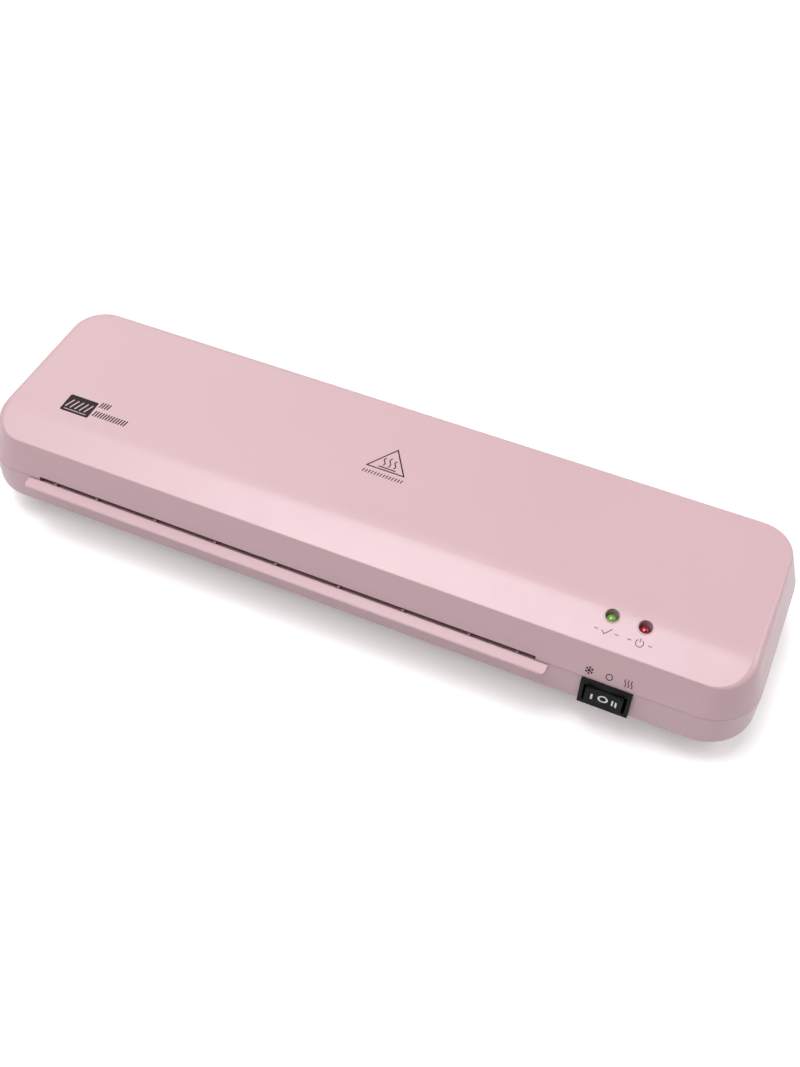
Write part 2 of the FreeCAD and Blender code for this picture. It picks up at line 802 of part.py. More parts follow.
def make_side_plate(name, inner, outward):
    """A steel side plate with a foot folded outwards; outward is -1 on the left, 1 on the right."""
    outer = inner + outward * S.plate_thick
    points = [
        (S.plate_front, S.plate_bottom), (S.plate_back, S.plate_bottom), (S.plate_back, 41),
        (S.plate_back - 3, S.plate_top), (-18, S.plate_top), (S.plate_front, 39.5),
    ]
    plate = prism(name + "_web", "YZ", sorted_span(inner, outer), points)
    foot = box(
        sorted_span(outer, outer + outward * 9.8), (-26, 26),
        (S.plate_bottom, S.plate_bottom + S.plate_thick),
    )
    reach = sorted_span(inner - outward, outer + outward)
    upper_axis = S.path_height + S.roller_pitch_radius
    lower_axis = S.path_height - S.roller_pitch_radius
    holes = [rod("X", S.bush_radius, reach, S.roller_along, upper_axis)]
    window = S.block_neck_width / 2 + S.fit_gap
    holes.append(box(
        reach, (S.roller_along - window, S.roller_along + window),
        (lower_axis - S.block_half_tall - S.carriage_travel - 0.4, lower_axis + S.block_half_tall + 0.2),
    ))
    for along, height in tie_bar_spots():
        holes.append(rod("X", S.screw_hole_radius, reach, along, height))
    for across, along in chassis_screw_spots():
        holes.append(rod("Z", S.screw_hole_radius, (S.plate_bottom - 1, S.plate_bottom + 3), across, along))
    if outward > 0:
        holes += [rod("X", S.screw_hole_radius, reach, *spot) for spot in post_spots()]
    node(name, cut(fuse(plate, foot), *holes))


def tie_bar_spots():
    return [(-S.tie_bar_along, S.tie_bar_height), (S.tie_bar_along, S.tie_bar_height)]


def make_chassis():
    make_side_plate("left_side_plate", S.plate_left, -1)
    make_side_plate("right_side_plate", S.plate_right, 1)
    for name, (along, height) in zip(("front_tie_bar", "rear_tie_bar"), tie_bar_spots()):
        bar = rod("X", S.tie_bar_radius, (S.plate_left, S.plate_right), along, height)
        drills = [
            rod("X", S.screw_pilot_radius, (S.plate_left - 1, S.plate_left + 8), along, height),
            rod("X", S.screw_pilot_radius, (S.plate_right - 8, S.plate_right + 1), along, height),
        ]
        node(name, cut(bar, *drills))
    screws = []
    top = S.plate_bottom + S.plate_thick
    for across, along in chassis_screw_spots():
        screws.append(fuse(
            rod("Z", 2.7, (top, top + 1.9), across, along),
            rod("Z", S.screw_radius, (S.base_height + 1.8, top), across, along),
        ))
    for along, height in tie_bar_spots():
        left = S.plate_left - S.plate_thick
        right = S.plate_right + S.plate_thick
        screws.append(fuse(rod("X", 2.6, (left - 1.8, left), along, height),
                           rod("X", S.screw_radius, (left, S.plate_left + 7), along, height)))
        screws.append(fuse(rod("X", 2.6, (right, right + 1.8), along, height),
                           rod("X", S.screw_radius, (S.plate_right - 7, right), along, height)))
    node("chassis_screws", group(*screws))


# ---------------------------------------------------------------- rollers


def make_rollers():
    upper_axis = S.path_height + S.roller_pitch_radius
    lower_axis = S.path_height - S.roller_pitch_radius
    left_face = S.plate_left - S.plate_thick
    right_face = S.plate_right + S.plate_thick
    drive_end = S.gear_start + S.gear_width + 1
    along = S.roller_along
    upper_end = left_face - 4.4
    lower_end = left_face - S.block_deep - 2.2
    node("upper_roller_shaft", rod("X", S.shaft_radius, (upper_end, drive_end), along, upper_axis))
    node("lower_roller_shaft", rod("X", S.shaft_radius, (lower_end, drive_end), along, lower_axis))
    for name, axis in (("upper_roller_sleeve", upper_axis), ("lower_roller_sleeve", lower_axis)):
        span = (S.sleeve_left, S.sleeve_right)
        node(name, tube("X", S.sleeve_radius, S.shaft_radius, span, along, axis))
    clips = (
        ("upper_shaft_clip", upper_axis, (left_face - 3.4, left_face - 2.6)),
        ("lower_shaft_clip", lower_axis, (left_face - S.block_deep - 1.5, left_face - S.block_deep - 0.7)),
    )
    for name, axis, span in clips:
        node(name, tube("X", S.shaft_radius + 1.9, S.shaft_radius, span, along, axis))
    bore = S.shaft_radius + S.shaft_play
    for name, face, outward in (("upper_bush_left", left_face, -1), ("upper_bush_right", right_face, 1)):
        sleeve_span = sorted_span(face - outward * (S.plate_thick + 0.8), face)
        flange_span = sorted_span(face, face + outward * 1.6)
        node(name, cut(
            fuse(rod("X", S.bush_radius, sleeve_span, along, upper_axis),
                 rod("X", S.bush_radius + 1.5, flange_span, along, upper_axis)),
            rod("X", bore, sorted_span(face - outward * 5, face + outward * 5), along, upper_axis),
        ))
    for name, face, outward in (("lower_bearing_left", left_face, -1), ("lower_bearing_right", right_face, 1)):
        outer_face = face + outward * S.block_deep
        body_span = sorted_span(face + outward * 0.15, outer_face)
        neck_span = sorted_span(face - outward * (S.plate_thick + 0.6), face + outward * 0.15)
        heights = (lower_axis - S.block_half_tall, lower_axis + S.block_half_tall)
        half = S.block_width / 2
        neck = S.block_neck_width / 2
        node(name, cut(
            fuse(box(body_span, (along - half, along + half), heights),
                 box(neck_span, (along - neck, along + neck), heights)),
            rod("X", bore, sorted_span(face - outward * 5, outer_face + outward), along, lower_axis),
        ))


SPRING_STEPS = 12
MITRED = 1


def make_spring(name, across):
    """A compression spring from the plate's foot up to a bearing block, in short mitred runs of wire."""
    base = S.plate_bottom.value + S.plate_thick.value + 0.05
    top = S.path_height.value - S.roller_pitch_radius.value - S.block_half_tall.value - 0.05
    wire = S.spring_wire.value / 2
    coil = S.spring_radius.value
    rise = top - base - 2 * wire
    count = int(S.spring_turns.value * SPRING_STEPS)
    spots = []
    for index in range(count + 1):
        angle = 2 * math.pi * index / SPRING_STEPS
        spots.append(Vector(coil * math.cos(angle), coil * math.sin(angle), rise * index / count))
    section = Part.Wire(Part.makeCircle(wire, spots[0], spots[1] - spots[0]))
    coiled = Part.makePolygon(spots).makePipeShell([section], True, False, MITRED)
    spring = doc.addObject("Part::Feature", name)
    spring.Shape = coiled
    spring.Placement = Placement(Vector(across.value, S.roller_along.value, base + wire), Rotation())
    node(name, spring)


def make_springs():
    half = S.block_deep / 2
    make_spring("pressure_spring_left", S.plate_left - S.plate_thick - half)
    make_spring("pressure_spring_right", S.plate_right + S.plate_thick + half)


# ---------------------------------------------------------------- gears and motor


def gear_blank(bore, hub_radius, hub_long):
    """A spur gear along +X with a tooth on its own +Y axis, from involute flanks of three points each."""
    module = S.gear_module.value
    count = int(S.gear_teeth.value)
    pitch = module * count / 2
    base = pitch * math.cos(math.radians(20))
    tip = pitch + 0.8 * module
    root = pitch - 1.1 * module
    half_tooth = math.pi / (2 * count) - S.gear_backlash.value / (4 * pitch)
    roll_at_pitch = math.sqrt((pitch / base) ** 2 - 1)
    half_at_base = half_tooth + roll_at_pitch - math.atan(roll_at_pitch)

    def flank(radius, side, turn):
        roll = math.sqrt(max((radius / base) ** 2 - 1, 0))
        angle = turn + side * (half_at_base - (roll - math.atan(roll)))
        return Vector(0, radius * math.cos(angle), radius * math.sin(angle))

    def at(radius, angle):
        return Vector(0, radius * math.cos(angle), radius * math.sin(angle))

    start = max(base, root)
    middle = (start + tip) / 2
    step = 2 * math.pi / count
    edges = []
    for tooth in range(count):
        turn = tooth * step
        right = [flank(radius, -1, turn) for radius in (start, middle, tip)]
        left = [flank(radius, 1, turn) for radius in (tip, middle, start)]
        edges.append(Part.LineSegment(at(root, turn - half_at_base), right[0]).toShape())
        edges.append(Part.Arc(*right).toShape())
        edges.append(Part.Arc(right[2], at(tip, turn), left[0]).toShape())
        edges.append(Part.Arc(*left).toShape())
        edges.append(Part.LineSegment(left[2], at(root, turn + half_at_base)).toShape())
        valley = (at(root, turn + half_at_base), at(root, turn + step / 2), at(root, turn + step - half_at_base))
        edges.append(Part.Arc(*valley).toShape())
    rim = Part.Face(Part.Wire(edges)).extrude(Vector(S.gear_width.value, 0, 0))
    solid = rim
    if hub_long:
        hub = Part.makeCylinder(hub_radius, hub_long, Vector(-hub_long, 0, 0), Vector(1, 0, 0))
        solid = rim.fuse(hub)
    drill = Part.makeCylinder(bore, 40, Vector(-20, 0, 0), Vector(1, 0, 0))
    return solid.cut(drill)


def add_gear(name, shape, along, height, turn):
    gear = doc.addObject("Part::Feature", name)
    gear.Shape = shape
    gear.Placement = Placement(
        Vector(S.gear_start.value, along.value, height.value),
        Rotation(Vector(1, 0, 0), math.degrees(turn)),
    )
    node(name, gear)


def motor_axis():
    """The motor gear meshes with the upper roller's gear from behind, at a given height."""
    drop = S.path_height + S.roller_pitch_radius - S.motor_height
    spacing = S.roller_pitch_radius * 2
    reach = math.sqrt(spacing.value ** 2 - drop.value ** 2)
    formula = f"sqrt(({spacing.formula}) ^ 2 - ({drop.formula}) ^ 2)"
    return S.roller_along + Size(reach, formula), S.motor_height


def make_gears():
    upper_axis = S.path_height + S.roller_pitch_radius
    lower_axis = S.path_height - S.roller_pitch_radius
    along = S.roller_along
    motor_along, motor_height = motor_axis()
    step = 2 * math.pi / S.gear_teeth.value
    down = -math.pi / 2
    towards_motor = math.atan2(motor_height.value - upper_axis.value, motor_along.value - along.value)
    # The upper gear has a tooth straight down, where the lower gear has a gap.
    past_tooth = (towards_motor - down) % step
    roller_gear = gear_blank(S.shaft_radius.value, 0, 0)
    motor_gear = gear_blank(S.motor_shaft_radius.value, 4.5, 2.0)
    add_gear("upper_roller_gear", roller_gear, along, upper_axis, down)
    add_gear("lower_roller_gear", roller_gear, along, lower_axis, math.pi / 2 + step / 2)
    add_gear("motor_gear", motor_gear, motor_along, motor_height,
             towards_motor + math.pi + past_tooth + step / 2)


def post_spots():
    """Three posts carry the motor: two behind its axis, above and below it, and one in front."""
    return [
        (S.post_back, S.motor_height + S.post_spread),
        (S.post_back, S.motor_height - S.post_spread),
        (S.post_front, S.path_height),
    ]


def make_motor():
    along, height = motor_axis()
    face = S.bracket_start + S.plate_thick
    can_start = face + S.gearbox_long
    can_end = can_start + S.motor_long
    plate = prism(
        "bracket_web", "YZ", (S.bracket_start, face),
        [(-1, 26), (8, 20), (40, 20), (40, 43), (38, 44.6), (8, 44.6), (-1, 35)],
    )
    reach = (S.bracket_start - 1, face + 1)
    holes = [rod("X", 4, reach, along, height)]
    screw_lines = (along - S.motor_screw_spread, along + S.motor_screw_spread)
    holes += [rod("X", S.screw_hole_radius, reach, line, height) for line in screw_lines]
    holes += [rod("X", S.screw_hole_radius, reach, *spot) for spot in post_spots()]
    node("motor_bracket", cut(plate, *holes))
    right_face = S.plate_right + S.plate_thick
    posts = []
    for spot in post_spots():
        post = fuse(rod("X", 2.8, (right_face, S.bracket_start), *spot), rod("X", 1.6, (S.bracket_start, face), *spot))
        posts.append(cut(post, rod("X", S.screw_pilot_radius, (right_face - 1, right_face + 9), *spot)))
    node("motor_posts", group(*posts))
    gearbox = rod("X", S.gearbox_radius, (face, can_start), along, height)
    pockets = [rod("X", 1.25, (face - 1, face + 6), line, height) for line in screw_lines]
    pockets.append(rod("X", S.motor_shaft_radius + S.shaft_play, (face - 1, face + 10), along, height))
    node("motor_gearbox", cut(gearbox, *pockets))
    can = fuse(
        rod("X", S.motor_radius, (can_start, can_end), along, height),
        rod("X", 4, (can_end, can_end + 1), along, height),
        box((can_end, can_end + 3), (along - 8.5, along - 7.9), (height - 1.2, height + 1.2)),
        box((can_end, can_end + 3), (along + 7.9, along + 8.5), (height - 1.2, height + 1.2)),
    )
    node("motor_can", can)
    node("motor_shaft", rod("X", S.motor_shaft_radius, (S.gear_start - 3, face + 9.5), along, height))
    screws = []
    for line in screw_lines:
        screws.append(fuse(
            rod("X", 2.4, (S.bracket_start - 1.6, S.bracket_start), line, height),
            rod("X", 1.2, (S.bracket_start, face + 5.5), line, height),
        ))
    for spot in post_spots():
        screws.append(fuse(
            rod("X", 2.2, (S.plate_right - 1.6, S.plate_right), *spot),
            rod("X", S.screw_radius, (S.plate_right, right_face + 8), *spot),
        ))
    node("motor_screws", group(*screws))


# ---------------------------------------------------------------- heating


def make_heated_plate(name, side):
    """A finned aluminium plate beside the path; side is 1 above it and -1 below."""
    face = S.path_height + side * S.heat_gap / 2
    back = face + side * S.heat_thick
    rib_end = back + side * S.heat_rib_tall
    lead = 1.4
    ends = (S.heat_front + lead, S.heat_back - lead)
    points = [
        (ends[0], face), (ends[1], face), (S.heat_back, face + side * lead), (S.heat_back, rib_end),
        (S.heat_back - S.heat_rib_thick, rib_end), (S.heat_back - S.heat_rib_thick, back),
        (S.heat_front + S.heat_rib_thick, back), (S.heat_front + S.heat_rib_thick, rib_end),
        (S.heat_front, rib_end), (S.heat_front, face + side * lead),
    ]
    node(name, prism(name + "_web", "YZ", (S.heat_left, S.heat_right), points))
    return back


def make_heating():
    upper = make_heated_plate("upper_heat_plate", 1)
    lower = make_heated_plate("lower_heat_plate", -1)
    span = (S.heat_left + 8, S.heat_right - 8)
    strip = (S.heat_front + 4, S.heat_front + 17)
    node("upper_heater", box(span, strip, (upper, upper + S.strip_tall)))
    node("lower_heater", box(span, strip, (lower - S.strip_tall, lower)))
    node("thermostats", group(
        thermostat(-60, upper, 1), thermostat(8, upper, 1), thermostat(-26, lower, -1),
    ))
    middle = S.heat_back - 8.5
    fuse_body = rod("X", 2, (40, 52), middle, upper + 2)
    fuse_leads = rod("X", 0.5, (34, 58), middle, upper + 2)
    node("thermal_fuse", fuse(fuse_body, fuse_leads))
    heights = (S.path_height - S.holder_half_tall, S.path_height + S.holder_half_tall)
    grip = (S.heat_front + 6, S.heat_back - 6)
    front_back = (S.heat_front - 1.5, S.heat_back)
    for name, ends in (("left_plate_holder", (S.plate_left, S.heat_left)),
                       ("right_plate_holder", (S.heat_right, S.plate_right))):
        block = box(ends, front_back, heights)
        through = (ends[0] - 1, ends[1] + 1)
        slots = [
            box(through, grip, (heights[0] - 1, heights[0] + S.holder_slot_deep)),
            box(through, grip, (heights[1] - S.holder_slot_deep, heights[1] + 1)),
        ]
        node(name, cut(block, *slots))
    front, back = S.heat_front - 1.5, S.heat_back + 1.8
    low, high = S.shield_bottom, S.shield_bottom + S.shield_tall
    skin = S.shield_thick
    shield = prism(
        "shield_web", "YZ", (S.heat_left, S.heat_right),
        [(front, high), (front, low), (back, low), (back, high), (back - skin, high), (back - skin, low + skin),
         (front + skin, low + skin), (front + skin, high)],
    )
    node("heat_shield", shield)


def thermostat(across, seat, side):
    """A disc thermostat standing on a heated plate, with its two tabs folded flat."""
    along = S.heat_back - 10
    middle = seat + side * S.thermostat_cap_tall
    cap = sorted_span(seat, middle)
    body = sorted_span(middle, seat + side * S.thermostat_tall)
    tab = sorted_span(middle + side * 2, middle + side * 2.8)
    return fuse(
        rod("Z", S.thermostat_radius, cap, across, along),
        rod("Z", S.thermostat_radius - 0.6, body, across, along),
        box((across - S.thermostat_tab_reach, across + S.thermostat_tab_reach), (along - 1.6, along + 1.6), tab),
    )


# ---------------------------------------------------------------- electrics and outlet


def board_spots():
    edge = S.board_edge
    return [
        (across, along)
        for across in (S.board_left + edge, S.board_right - edge)
        for along in (S.board_front + edge, S.board_back - edge)
    ]


# What stands on the board, from its top face up: two blocks (a transformer and a relay), two capacitors,
# a small block and a fuse lying down.  Each block is (left, right, front, back, tall).
BOARD_BLOCKS = ((122, 140, -16, -10, 11.4), (144, 156, -17, -8, 8.4), (144, 153, -2, 4, 5.4))
CAPACITOR_SPOTS = ((127, 0), (137, 0))


def make_control_board():
    top = S.board_bottom + S.board_thick
    drills = [
        rod("Z", S.screw_hole_radius, (S.board_bottom - 1, top + 1), across, along)
        for across, along in board_spots()
    ]
    board = box((S.board_left, S.board_right), (S.board_front, S.board_back), (S.board_bottom, top))
    node("control_board", cut(board, *drills))
    parts = [
        box((left, right), (front, back), (top, top + tall))
        for left, right, front, back, tall in BOARD_BLOCKS
    ]
    parts += [rod("Z", 4, (top, top + 10.9), across, along) for across, along in CAPACITOR_SPOTS]
    parts.append(rod("X", 2.6, (122, 142), 7, top + 2.6))
    node("board_components", group(*parts))
    screws = []
    for across, along in board_spots():
        screws.append(fuse(
            rod("Z", 2.4, (top, top + 1.6), across, along),
            rod("Z", S.screw_radius, (S.base_height + 1.8, top), across, along),
        ))
    node("board_screws", group(*screws))


def make_gland():
    rear = S.body_depth / 2
    inside = rear - S.wall - S.gland_inside
    flange_end = rear + S.gland_flange_thick
    spot = (S.gland_across, S.gland_height)
    collar = rod("Y", S.gland_radius, (inside, rear), *spot)
    flange = rod("Y", S.gland_flange_radius, (rear, flange_end), *spot)
    bore = rod("Y", S.gland_bore_radius, (inside - 1, flange_end + 1), *spot)
    node("cord_gland", cut(fuse(collar, flange), bore))


# ---------------------------------------------------------------- build, check and write

make_upper_cover()
make_lower_cover()
make_feet()
make_case_screws()
make_guide("infeed_guide", -1)
make_guide("exit_guide", 1)
make_switch()
make_lamps()
make_chassis()
make_rollers()
make_springs()
make_gears()
make_motor()
make_heating()
make_control_board()
make_gland()

doc.recompute()
failed = [thing.Label for thing in doc.Objects if {"Invalid", "Error"} & set(thing.State)]
if failed:
    raise RuntimeError(f"objects that did not build: {failed}")
os.makedirs("parts", exist_ok=True)
for thing in NODES:
    if thing.Shape.isNull() or not thing.Shape.isValid():
        raise RuntimeError(f"{thing.Label} has no valid shape")
for thing in NODES:
    thing.Shape.exportStep(f"parts/{thing.Label}.step")
    print(thing.Label, len(thing.Shape.Solids), round(thing.Shape.Volume))
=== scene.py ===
import math

import bmesh
import bpy
from mathutils import Matrix, Vector
from mathutils.bvhtree import BVHTree


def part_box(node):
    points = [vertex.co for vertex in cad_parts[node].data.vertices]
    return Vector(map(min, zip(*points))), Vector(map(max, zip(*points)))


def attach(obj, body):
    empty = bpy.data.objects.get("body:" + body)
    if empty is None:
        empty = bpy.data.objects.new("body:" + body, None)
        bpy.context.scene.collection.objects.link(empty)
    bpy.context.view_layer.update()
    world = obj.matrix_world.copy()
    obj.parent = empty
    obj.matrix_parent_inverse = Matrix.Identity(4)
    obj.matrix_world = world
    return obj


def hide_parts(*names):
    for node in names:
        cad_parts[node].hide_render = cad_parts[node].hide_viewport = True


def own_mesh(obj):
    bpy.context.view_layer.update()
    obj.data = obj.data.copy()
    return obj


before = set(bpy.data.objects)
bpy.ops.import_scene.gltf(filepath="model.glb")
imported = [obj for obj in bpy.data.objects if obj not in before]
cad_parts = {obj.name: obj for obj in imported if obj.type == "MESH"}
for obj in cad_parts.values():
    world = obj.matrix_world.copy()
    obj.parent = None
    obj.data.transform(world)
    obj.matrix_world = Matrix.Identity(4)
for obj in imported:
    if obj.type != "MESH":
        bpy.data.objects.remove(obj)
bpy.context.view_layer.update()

# A pink A4 pouch laminator.  Blender works in metres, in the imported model's frame.
# +Z is up and the operator stands at -Y.  Lengths below are in millimetres unless they say otherwise.
MM = 0.001

# ---------------------------------------------------------------- camera, floor and light

CAMERA_AIM = Vector((12.4, -8.0, 24.0)) * MM
CAMERA_DISTANCE = 573.3 * MM
CAMERA_AZIMUTH = math.radians(21.83)
CAMERA_ELEVATION = math.radians(49.52)
CAMERA_ROLL = math.radians(2.21)
CAMERA_LENS = 44.6
CAMERA_SENSOR = 36
CAMERA_NEAR = 0.01
CAMERA_FAR = 20

# Softboxes round the machine: name, azimuth from the operator's side towards the right, elevation, radiance.
SOFTBOXES = (
    ("overhead", 239, 81, 6.3),
    ("front_left", 315, 65, 3.2),
    ("left", 270, 65, 1.6),
    ("rear_right", 122, 40, 3.2),
    ("rear_left", 225, 40, 0.9),
)
# Metres.
SOFTBOX_SIDE = 1.6
SOFTBOX_DISTANCE = 3.0
FLOOR_HALF = 1.5
# The room lights the machine.  The backdrop and the floor's glow are only for what the camera sees directly.
ROOM_LIGHT = 0.2
BACKDROP_LIGHT = 1.0
FLOOR_GLOW = 0.3
FLOOR_WHITE = (0.9, 0.9, 0.9, 1)
WHITE = (1, 1, 1, 1)


def make_camera():
    """A camera in front of the right half, looking down at the machine and tilted a little."""
    level = math.cos(CAMERA_ELEVATION)
    forward = Vector((
        -math.sin(CAMERA_AZIMUTH) * level,
        math.cos(CAMERA_AZIMUTH) * level,
        -math.sin(CAMERA_ELEVATION),
    ))
    right = forward.cross(Vector((0, 0, 1))).normalized()
    up = right.cross(forward)
    turn = Matrix.Rotation(-CAMERA_ROLL, 3, forward)
    right, up = turn @ right, turn @ up
    data = bpy.data.cameras.new("camera")
    data.lens = CAMERA_LENS
    data.sensor_width = CAMERA_SENSOR
    data.clip_start = CAMERA_NEAR
    data.clip_end = CAMERA_FAR
    camera = bpy.data.objects.new("camera", data)
    spot = CAMERA_AIM - forward * CAMERA_DISTANCE
    axes = Matrix((right, up, -forward)).transposed().to_4x4()
    camera.matrix_world = Matrix.Translation(spot) @ axes
    bpy.context.collection.objects.link(camera)
    bpy.context.scene.camera = camera


def make_softbox(name, azimuth, elevation, radiance):
    """A square area light that faces the machine; its power is worked out from how bright its face looks."""
    turn, rise = math.radians(azimuth), math.radians(elevation)
    place = Vector((
        math.sin(turn) * math.cos(rise),
        -math.cos(turn) * math.cos(rise),
        math.sin(rise),
    )) * SOFTBOX_DISTANCE
    data = bpy.data.lights.new(name, "AREA")
    data.shape = "RECTANGLE"
    data.size = SOFTBOX_SIDE
    data.size_y = SOFTBOX_SIDE
    data.energy = radiance * math.pi * SOFTBOX_SIDE * SOFTBOX_SIDE
    light = bpy.data.objects.new(name, data)
    light.location = place
    light.rotation_mode = "QUATERNION"
    light.rotation_quaternion = (-place).to_track_quat("-Z", "Y")
    bpy.context.collection.objects.link(light)


def for_camera_rays(tree, otherwise, seen):
    """A strength that is one value for what the camera sees directly and another for all other light."""
    camera_ray = shader(tree, "LightPath").outputs["Is Camera Ray"]
    return shader(tree, "MapRange", Value=camera_ray, To_Min=otherwise, To_Max=seen).outputs["Result"]


def make_light():
    """The softboxes, and a dim even room behind a white backdrop."""
    for name, azimuth, elevation, radiance in SOFTBOXES:
        make_softbox(name + "_softbox", azimuth, elevation, radiance)
    world = bpy.data.worlds.new("room")
    world.use_nodes = True
    tree = world.node_tree
    background = tree.nodes["Background"]
    background.inputs["Color"].default_value = WHITE
    tree.links.new(for_camera_rays(tree, ROOM_LIGHT, BACKDROP_LIGHT), background.inputs["Strength"])
    bpy.context.scene.world = world
    bpy.context.scene.view_settings.view_transform = "Standard"


def make_floor():
    """A plain white floor, with a little added light that only the camera sees, so its shadow stays pale."""
    corners = [
        (across * FLOOR_HALF, along * FLOOR_HALF, 0) for across, along in ((-1, -1), (1, -1), (1, 1), (-1, 1))
    ]
    mesh = bpy.data.meshes.new("floor")
    mesh.from_pydata(corners, [], [(0, 1, 2, 3)])
    material, tree, surface = new_material("floor_white", Roughness=0.7)
    surface.inputs["Base Color"].default_value = FLOOR_WHITE
    surface.inputs["Emission Color"].default_value = WHITE
    tree.links.new(for_camera_rays(tree, 0.0, FLOOR_GLOW), surface.inputs["Emission Strength"])
    mesh.materials.append(material)
    floor = bpy.data.objects.new("floor", mesh)
    bpy.context.collection.objects.link(floor)


# ---------------------------------------------------------------- material helpers

BEVEL_SAMPLES = 4
ALONG_ROLLERS = 0


def shader(tree, kind, settings=None, **inputs):
    """Adds a shader node. An input given as a socket is linked, anything else is its value."""
    made = tree.nodes.new("ShaderNode" + kind)
    for name, value in (settings or {}).items():
        setattr(made, name, value)
    for name, value in inputs.items():
        socket = made.inputs[name.replace("_", " ")]
        if isinstance(value, bpy.types.NodeSocket):
            tree.links.new(value, socket)
        else:
            socket.default_value = value
    return made


def new_material(name, **inputs):
    """A material whose surface is one Principled shader with these uniform values."""
    material = bpy.data.materials.new(name)
    material.use_nodes = True
    tree = material.node_tree
    surface = tree.nodes["Principled BSDF"]
    for key, value in inputs.items():
        surface.inputs[key.replace("_", " ")].default_value = value
    return material, tree, surface


def place_in_object(tree):
    """The shaded point in the object's own coordinates, which are metres."""
    return tree.nodes.new("ShaderNodeTexCoord").outputs["Object"]


def noise(tree, size, detail=2.0, roughness=0.5, vector=None):
    """Noise whose blobs are about this many millimetres across."""
    return shader(
        tree, "TexNoise", Vector=vector or place_in_object(tree),
        Scale=1 / (size * MM), Detail=detail, Roughness=roughness,
    ).outputs["Fac"]


def spread(tree, value, low=0.0, high=1.0):
    """Maps noise, most of which lies near the middle of 0 to 1, on to low to high."""
    return shader(
        tree, "MapRange", Value=value, From_Min=0.3, From_Max=0.7, To_Min=low, To_Max=high,
    ).outputs["Result"]


def blend_colours(tree, factor, first, second):
    """The first colour where the factor is 0, the second where it is 1."""
    mix = tree.nodes.new("ShaderNodeMix")
    mix.data_type = "RGBA"
    for socket, value in (("Factor_Float", factor), ("A_Color", first), ("B_Color", second)):
        target = next(item for item in mix.inputs if item.identifier == socket)
        if isinstance(value, bpy.types.NodeSocket):
            tree.links.new(value, target)
        else:
            target.default_value = (*value, 1) if hasattr(value, "__len__") else value
    return next(item for item in mix.outputs if item.identifier == "Result_Color")


def bump(tree, height, depth, normal=None):
    """Raises the surface by up to this many millimetres."""
    made = shader(tree, "Bump", Height=height, Strength=1.0, Distance=depth * MM)
    if normal is not None:
        tree.links.new(normal, made.inputs["Normal"])
    return made.outputs["Normal"]


def streaks_along(tree, axis, factor):
    """Object coordinates drawn out along one axis, so that noise on them becomes streaks."""
    scale = [1.0, 1.0, 1.0]
    scale[axis] = 1 / factor
    return shader(tree, "Mapping", Vector=place_in_object(tree), Scale=scale).outputs["Vector"]


def rings_round(tree, axis, factor):
    """Object coordinates drawn out across one axis, so that noise on them rings a turned part."""
    scale = [1 / factor, 1 / factor, 1 / factor]
    scale[axis] = 1.0
    return shader(tree, "Mapping", Vector=place_in_object(tree), Scale=scale).outputs["Vector"]


def cells(tree, size, output, **settings):
    """Voronoi cells of about this many millimetres."""
    made = shader(tree, "TexVoronoi", settings, Vector=place_in_object(tree), Scale=1 / (size * MM))
    return made.outputs[output]


def cell_values(tree, size, channel):
    """One even random value for each Voronoi cell."""
    return shader(tree, "SeparateColor", Color=cells(tree, size, "Color")).outputs[channel]


def rounded_edges(tree, radius):
    """A normal that turns smoothly over the object's edges, as if they had this radius."""
    return shader(tree, "Bevel", {"samples": BEVEL_SAMPLES}, Radius=radius * MM).outputs["Normal"]


def shade(colour, factor):
    """The same colour, darker or lighter."""
    return tuple(factor * part for part in colour)


def finish_surface(tree, surface, colours, tone_or_shade, roughness, gloss, height=None, depth=0.0, edge=0.0):
    """Blends two colours by one pattern (for the lenses, by painted shade) and two roughnesses by another,
    and raises the surface by a third.
    """
    link = tree.links.new
    link(blend_colours(tree, tone_or_shade, *colours), surface.inputs["Base Color"])
    span = shader(tree, "MapRange", Value=gloss, To_Min=roughness[0], To_Max=roughness[1])
    link(span.outputs["Result"], surface.inputs["Roughness"])
    normal = rounded_edges(tree, edge) if edge else None
    if height is not None:
        normal = bump(tree, height, depth, normal=normal)
    if normal is not None:
        link(normal, surface.inputs["Normal"])


def plastic(name, colour, roughness, grain, grain_depth, edge, **inputs):
    """Moulded plastic: a fine eroded grain, slightly uneven gloss and a faint, uneven tone of colour."""
    material, tree, surface = new_material(name, **inputs)
    finish_surface(
        tree, surface, (shade(colour, 0.98), colour), tone_or_shade=spread(tree, noise(tree, 60, detail=1)),
        roughness=(roughness - 0.03, roughness + 0.03), gloss=spread(tree, noise(tree, 9, detail=3)),
        height=noise(tree, grain), depth=grain_depth, edge=edge,
    )
    return material


def streaked_metal(name, colour, roughness, pitch, depth, grain_way, edge=0.1):
    """Rolled, drawn or turned metal: fine streaks in gloss and height, and faint stains."""
    material, tree, surface = new_material(name, Metallic=1.0)
    streaks = noise(tree, pitch, detail=3, roughness=0.6, vector=grain_way(tree, ALONG_ROLLERS, 60))
    stains = spread(tree, noise(tree, 14, detail=4, roughness=0.6))
    finish_surface(
        tree, surface, (shade(colour, 0.86), colour), tone_or_shade=stains, roughness=roughness,
        gloss=spread(tree, streaks), height=streaks, depth=depth, edge=edge,
    )
    return material


# ---------------------------------------------------------------- materials

